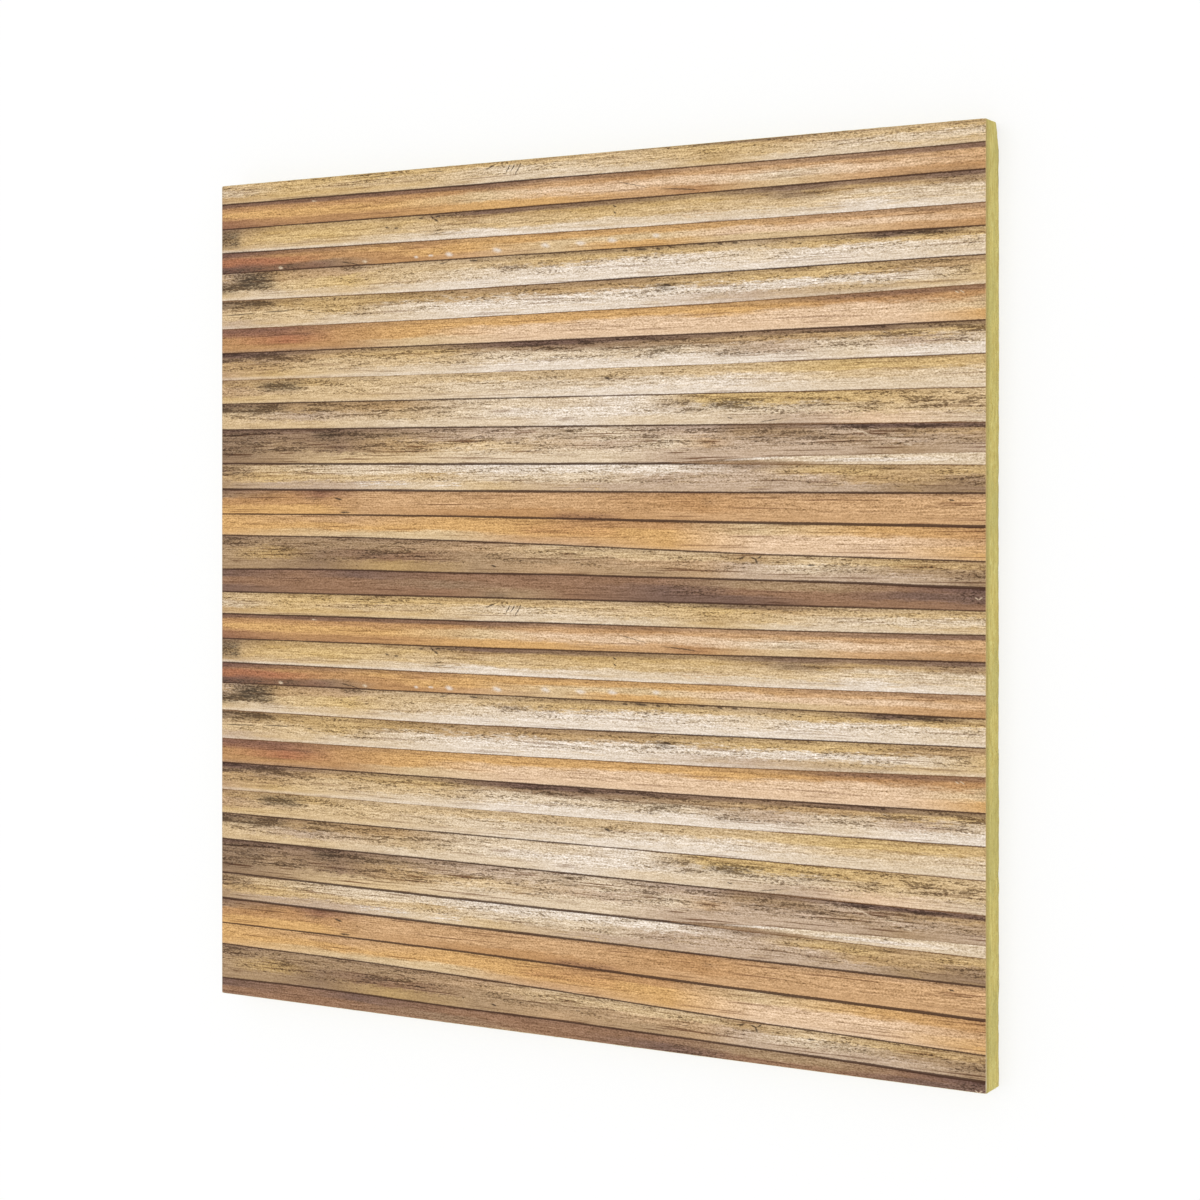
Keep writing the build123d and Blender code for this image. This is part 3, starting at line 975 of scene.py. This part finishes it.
# What the print is at each corner of each quad, written to the mesh
corner_vertex = np.empty(len(mesh.loops), int)
mesh.loops.foreach_get("vertex_index", corner_vertex)
corner_count = len(corner_vertex)
print_place = np.zeros((corner_count, 2))
reed_across = np.zeros((corner_count, 2))
layers_of_tone = [np.ones((corner_count, 4)) for _ in range(3)]
patches = {"stain": np.zeros((corner_count, 4)), "bleach": np.zeros((corner_count, 4))}
TRAITS = ("reed_number", "joint", "shade", "glow", "specks", "lines", "sun")
traits = {name: np.zeros(corner_count) for name in TRAITS}
for row in range(row_count - 1):
    number, reed, upper, lower, start = bands[row]
    first_face = row * (column_count - 1)
    corners = slice(first_face * 4, (first_face + column_count - 1) * 4)
    column = corner_vertex[corners] % column_count
    down = row_places[corner_vertex[corners] // column_count, column]
    along = along_mm[column]
    to_upper, to_lower = down - upper[column], lower[column] - down
    from_top = to_upper / (to_upper + to_lower)
    print_place[corners] = np.stack((along, down - start), axis=-1) * MM
    reed_across[corners] = np.stack((to_lower, to_upper), axis=-1) * MM
    for layer in range(3):
        layers_of_tone[layer][corners] = run_of_tones(reed, layer + 1, along)
    patches["stain"][corners] = patches_at(STAINS, number, along, from_top)
    patches["bleach"][corners] = patches_at(BLEACHES, number, along, from_top)
    traits["reed_number"][corners] = number
    for name in ("shade", "glow", "specks", "lines", "sun"):
        traits[name][corners] = run(reed[name], along)
    under = run(REEDS[number - 2]["joint"], along)
    traits["joint"][corners] = np.where(from_top < 0.5, under, run(reed["joint"], along))

# The map that the look is baked on: the face fills most of it, the edges run round that and the underside
# has a thin strip
MAP_FACE = 0.96
MAP_EDGE = 0.008
MAP_STRIP = (0.0008, 0.0036)
edge_level = np.zeros(len(face_points))
edge_level[row_count * column_count:-1] = np.repeat(np.arange(len(face_levels)) + 1, ring_size)
flat_places = np.array([(p.x, p.y) for p in face_points]) / (2 * face_half)
bake_place = 0.5 + MAP_FACE * flat_places * (1 + MAP_EDGE * edge_level)[:, None]
bake_place = bake_place[corner_vertex]
under = np.arange(ring_size)
bake_place[-3 * ring_size:] = np.stack((
    np.stack((under, under + 1, under + 0.5), axis=-1).ravel() / ring_size,
    np.tile((MAP_STRIP[0], MAP_STRIP[0], MAP_STRIP[1]), ring_size),
), axis=-1)

for name, values in (("print_place", print_place), ("reed_across", reed_across), ("OFBake", bake_place)):
    mesh.uv_layers.new(name=name).data.foreach_set("uv", values.ravel())
for name, values in zip(("tone_upper", "tone_middle", "tone_lower"), layers_of_tone):
    mesh.color_attributes.new(name, "FLOAT_COLOR", "CORNER").data.foreach_set("color", values.ravel())
for name, values in patches.items():
    mesh.color_attributes.new(name, "FLOAT_COLOR", "CORNER").data.foreach_set("color", values.ravel())
for name, values in traits.items():
    mesh.attributes.new(name, "FLOAT", "CORNER").data.foreach_set("value", values)


printed, tree, shader = surface("reed_print")


def attribute(name, output="Fac"):
    """A value that the facing's mesh carries."""
    return add_node(tree, "ShaderNodeAttribute", {"attribute_name": name}, {}).outputs[output]


def mapped(name):
    """A place held in one of the facing's maps, in millimetres."""
    spot = add_node(tree, "ShaderNodeUVMap", {"uv_map": name}, {}).outputs[0]
    return vector_work(tree, "MULTIPLY", spot, (1 / MM, 1 / MM, 0))


def strokes(marks, place, core):
    """A mask of the strokes in a list: long thin spots, full out to the core's share of their width."""
    mask = None
    for from_x, from_y, to_x, to_y, half_width in marks:
        length = math.hypot(to_x - from_x, to_y - from_y)
        sockets = {
            "Vector": place,
            "Location": ((from_x + to_x) / 2, (from_y + to_y) / 2, 0),
            "Rotation": (0, 0, math.atan2(to_y - from_y, to_x - from_x)),
            "Scale": (length / 2 + half_width, half_width, 1),
        }
        spot = add_node(tree, "ShaderNodeMapping", {"vector_type": "TEXTURE"}, sockets).outputs[0]
        apart = add_node(tree, "ShaderNodeVectorMath", {"operation": "LENGTH"}, {0: spot}).outputs["Value"]
        drawn = fade(tree, apart, 1.0, core)
        mask = drawn if mask is None else work(tree, "MAXIMUM", mask, drawn)
    return mask


# Each reed reads the noise from a place of its own, this far along from the one above it
REED_APART = 731.0
on_print = mapped("print_place")
shift = joined(tree, X=work(tree, "MULTIPLY", attribute("reed_number"), REED_APART))
on_reed = vector_work(tree, "ADD", on_print, shift)
across = parts_of(tree, mapped("reed_across"))
to_lower, to_upper = across["X"], across["Y"]

long_grain = mottle(tree, on_reed, (34, 1.4, 1), detail=3, roughness=0.6)
fine_lines = mottle(tree, on_reed, (60, 0.9, 1), detail=2, roughness=0.5, shift=5.0)
short_grain = mottle(tree, on_reed, (8, 1.0, 1), detail=2, roughness=0.6, shift=11.0)
grit = mottle(tree, on_reed, (1.5, 0.95, 1), detail=2, roughness=0.6, shift=17.0)
drift = mottle(tree, on_reed, (70, 8, 1), detail=2, shift=23.0)
clusters = mottle(tree, on_reed, (30, 2.6, 1), detail=3, shift=29.0)
streaks = mottle(tree, on_reed, (11, 0.9, 1), detail=4, roughness=0.75, shift=43.0)
ragged = mottle(tree, on_reed, (8, 1.4, 1), detail=4, roughness=0.7, shift=37.0)
hairs = mottle(tree, on_reed, (60, 1.3, 1), detail=1, roughness=0.5, shift=57.0)
pores = mottle(tree, on_reed, (3.0, 0.92, 1), detail=3, roughness=0.7, shift=51.0)

# The three tones of a reed, meeting in ragged lines, then the patches that are paler or yellower
share = work(tree, "DIVIDE", to_lower, work(tree, "ADD", to_lower, to_upper))
tearing = work(tree, "MULTIPLY_ADD", attribute("specks"), 0.35, 0.15)
wander = swing(tree, ragged, tearing, swing(tree, drift, 0.35, share))
tone = attribute("tone_middle", "Color")
tone = tint(tree, fade(tree, wander, 0.55, 0.75), tone, attribute("tone_upper", "Color"))
tone = tint(tree, fade(tree, wander, 0.44, 0.24), tone, attribute("tone_lower", "Color"))
sunned = work(tree, "MULTIPLY", fade(tree, clusters, 0.50, 0.68, 0.0, 0.5), attribute("sun"))
tone = tint(tree, sunned, tone, srgb(204, 167, 98))
spread = fade(tree, streaks, 0.30, 0.70)
bare = work(tree, "SUBTRACT", 1.0, attribute("bleach", "Alpha"))
bleached = fade(tree, spread, bare, work(tree, "ADD", bare, 0.35), 0.0, 0.85)
tone = tint(tree, bleached, tone, attribute("bleach", "Color"))

# The soft ground of the stains, the dark upper rim and the pale lower rim that make a reed look round
stained = attribute("stain", "Alpha")
ground = work(tree, "MULTIPLY", stained, fade(tree, spread, 0.0, 0.9, 0.3, 0.85))
tone = tint(tree, ground, tone, attribute("stain", "Color"))
rim_edge = swing(tree, ragged, 1.4, swing(tree, drift, 2.4, to_upper))
rim_core = work(tree, "MULTIPLY_ADD", attribute("shade"), 1.5, 0.9)
rim_shade = work(tree, "MULTIPLY", fade(tree, rim_edge, 4.3, rim_core, 0.0, 0.9), attribute("shade"))
tone = tint(tree, rim_shade, tone, srgb(100, 72, 65))
rim_glow = fade(tree, swing(tree, ragged, 1.5, to_lower), 3.2, 0.8, 0.0, 0.6)
rim_glow = work(tree, "MULTIPLY", rim_glow, attribute("glow"))
tone = tint(tree, rim_glow, tone, TONES["white"])

# The grain, the pores and the fine marks
grain = swing(tree, long_grain, 0.7, 0.0)
grain = swing(tree, short_grain, 1.2, grain)
grain = swing(tree, grit, 1.65, grain)
grain = work(tree, "MULTIPLY_ADD", swing(tree, fine_lines, 0.9, 0.0), attribute("lines"), grain)
grain = work(tree, "MULTIPLY_ADD", grain, fade(tree, share, 0.08, 0.45, 0.5, 1.0), 1.0)
warmed = joined(tree, X=work(tree, "POWER", grain, 0.85), Y=grain, Z=work(tree, "POWER", grain, 1.25))
tone = vector_work(tree, "MULTIPLY", tone, warmed)
lined = work(tree, "MULTIPLY_ADD", attribute("lines"), 0.6, 0.3)
lined = work(tree, "MULTIPLY", lined, fade(tree, drift, 0.35, 0.6))
lined = work(tree, "MULTIPLY", fade(tree, hairs, 0.60, 0.70), lined)
tone = tint(tree, lined, tone, srgb(160, 136, 120), "MULTIPLY")
crowd = work(tree, "MULTIPLY", fade(tree, clusters, 0.38, 0.66, 0.1, 0.85), attribute("specks"))
crowd = work(tree, "MULTIPLY", crowd, fade(tree, share, 0.12, 0.42, 0.3, 1.0))
crowd = work(tree, "MULTIPLY_ADD", stained, 0.75, crowd)
rare = work(tree, "MULTIPLY_ADD", crowd, -0.38, 0.76)
pored = fade(tree, pores, rare, work(tree, "ADD", rare, 0.08), 0.0, 0.9)
tone = tint(tree, pored, tone, srgb(146, 134, 122), "MULTIPLY")
wobble = joined(tree, X=swing(tree, short_grain, 2.0, 0.0), Y=swing(tree, ragged, 1.2, 0.0))
drawn_on = vector_work(tree, "ADD", on_print, wobble)
broken = fade(tree, grit, 0.30, 0.56, 0.45, 0.95)
faint = fade(tree, grit, 0.3, 0.6, 0.6, 1.0)
for marks, core, gaps, ink in (
    (DARK_STROKES, 0.45, broken, srgb(60, 42, 28)),
    (PALE_STROKES, 0.2, broken, TONES["cream"]),
    (SOFT_DOTS, 0.0, faint, TONES["white"]),
):
    tone = tint(tree, work(tree, "MULTIPLY", strokes(marks, drawn_on, core), gaps), tone, ink)

# The dark joints between the reeds, and the lint of the fleece that the print lies on
joint_edge = swing(tree, long_grain, 0.6, work(tree, "MINIMUM", to_lower, to_upper))
joint_edge = swing(tree, grit, 0.35, joint_edge)
half_joint = work(tree, "MULTIPLY", attribute("joint"), 0.5)
joint_starts = work(tree, "ADD", half_joint, 0.35)
joint_core = work(tree, "SUBTRACT", half_joint, 0.2)
joint = fade(tree, joint_edge, joint_starts, joint_core, 0.0, 0.9)
joint_tone = tint(tree, fade(tree, attribute("joint"), 0.5, 0.9), srgb(112, 74, 40), srgb(62, 34, 18))
tone = tint(tree, joint, tone, joint_tone)
LINT_SIZE = 480.0
lint = torn_fibre(tree, on_print, LINT_SIZE, 71.0)["Shot"]
tone = scaled(tree, tone, fade(tree, lint, 0.2, 0.8, 0.86, 1.14))
feed(tree, shader.inputs["Base Color"], tone)
feed(tree, shader.inputs["Roughness"], fade(tree, ragged, 0.3, 0.7, 0.82, 0.70))
shader.inputs["Specular IOR Level"].default_value = 0.25
fuzz = {"Strength": 0.35, "Distance": 0.12 * MM, "Height": lint}
feed(tree, shader.inputs["Normal"], add_node(tree, "ShaderNodeBump", {}, fuzz).outputs["Normal"])

fleece, tree, shader = surface("cut_fleece")
place = tree.nodes.new("ShaderNodeTexCoord").outputs["Object"]
cut = torn_fibre(tree, place, 0.4, 4.0)
# Painted shade: the cut edge is olive khaki everywhere but near the lower end, where it keeps its own cream
down_edge = parts_of(tree, place)["Y"]
unshaded_end = fade(tree, swing(tree, cut["Clouds"], 0.06, down_edge), -face_half + 0.035, -face_half + 0.01)
colour = tint(tree, unshaded_end, srgb(198, 174, 116), srgb(226, 212, 180))
colour = tint(tree, fade(tree, cut["Layers"], 0.62, 0.40, 0.0, 0.5), colour, srgb(180, 155, 106))
feed(tree, shader.inputs["Base Color"], colour)
shader.inputs["Roughness"].default_value = 0.9
shader.inputs["Specular IOR Level"].default_value = 0.2

mesh.materials.append(printed)
mesh.materials.append(fleece)
cut_faces = len(mesh.polygons) - printed_faces
mesh.polygons.foreach_set("material_index", [0] * printed_faces + [1] * cut_faces)
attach(facing, "root")
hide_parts("printed_facing")


# The floor, the light and the camera
# A plain white studio floor that keeps the tile's soft shadow, an even sky and one broad soft lamp above.
# The camera looks down on the tile, turned as the photograph has it, with the tile's top edge up.

FLOOR_HALF = 8.0
floor_corners = [(FLOOR_HALF * x, FLOOR_HALF * y, 0) for x, y in ((-1, -1), (1, -1), (1, 1), (-1, 1))]
floor = mesh_object("studio_floor", floor_corners, [(0, 1, 2, 3)])
paper, tree, shader = surface("studio_white")
shader.inputs["Base Color"].default_value = (0.8, 0.8, 0.8, 1)
shader.inputs["Roughness"].default_value = 1.0
shader.inputs["Specular IOR Level"].default_value = 0.0
SHADOW_SHARE = 0.28
seen = add_node(tree, "ShaderNodeBsdfDiffuse", {}, {"Color": (1, 1, 1, 1)}).outputs[0]
white = tree.nodes.new("ShaderNodeEmission").outputs[0]
shown = add_node(tree, "ShaderNodeMixShader", {}, {0: SHADOW_SHARE, 1: white, 2: seen}).outputs[0]
straight = tree.nodes.new("ShaderNodeLightPath").outputs["Is Camera Ray"]
chosen = add_node(tree, "ShaderNodeMixShader", {}, {0: straight, 1: shader.outputs[0], 2: shown}).outputs[0]
feed(tree, tree.nodes["Material Output"].inputs["Surface"], chosen)
floor.data.materials.append(paper)

SKY_STRENGTH = 0.88
LAMP_STRENGTH = 0.45
LAMP_BREADTH = math.radians(35)
LAMP_TURN = (math.radians(-8), math.radians(-14), 0)
world = bpy.data.worlds.new("studio_sky")
bpy.context.scene.world = world
world.use_nodes = True
tree = world.node_tree
sky = tree.nodes["Background"]
sky.inputs["Color"].default_value = (1, 1, 1, 1)
ray = tree.nodes.new("ShaderNodeLightPath").outputs
straight = work(tree, "MAXIMUM", ray["Is Camera Ray"], ray["Is Glossy Ray"])
straight = work(tree, "MAXIMUM", straight, ray["Is Transmission Ray"])
feed(tree, sky.inputs["Strength"], fade(tree, straight, 0.0, 1.0, SKY_STRENGTH, 1.0))

lamp = bpy.data.lights.new("soft_lamp", "SUN")
lamp.energy = LAMP_STRENGTH
lamp.angle = LAMP_BREADTH
lamp_object = bpy.data.objects.new("soft_lamp", lamp)
lamp_object.rotation_euler = LAMP_TURN
bpy.context.scene.collection.objects.link(lamp_object)

CAMERA_TURN = math.radians(30.2)
CAMERA_PLACE = (0.8090, 0.0581, 1.3687)
CAMERA_LENS = 69.96
CAMERA_SENSOR = 36.0
PHOTO_SIDE = 1200
HORIZON_ABOVE_MIDDLE = 89.2
camera = bpy.data.cameras.new("photo_view")
camera.lens = CAMERA_LENS
camera.sensor_width = CAMERA_SENSOR
camera.shift_y = -HORIZON_ABOVE_MIDDLE / PHOTO_SIDE
camera_object = bpy.data.objects.new("photo_view", camera)
camera_object.location = CAMERA_PLACE
camera_object.rotation_euler = (0, CAMERA_TURN, 0)
bpy.context.scene.collection.objects.link(camera_object)
bpy.context.scene.camera = camera_object
bpy.context.scene.view_settings.view_transform = "Standard"
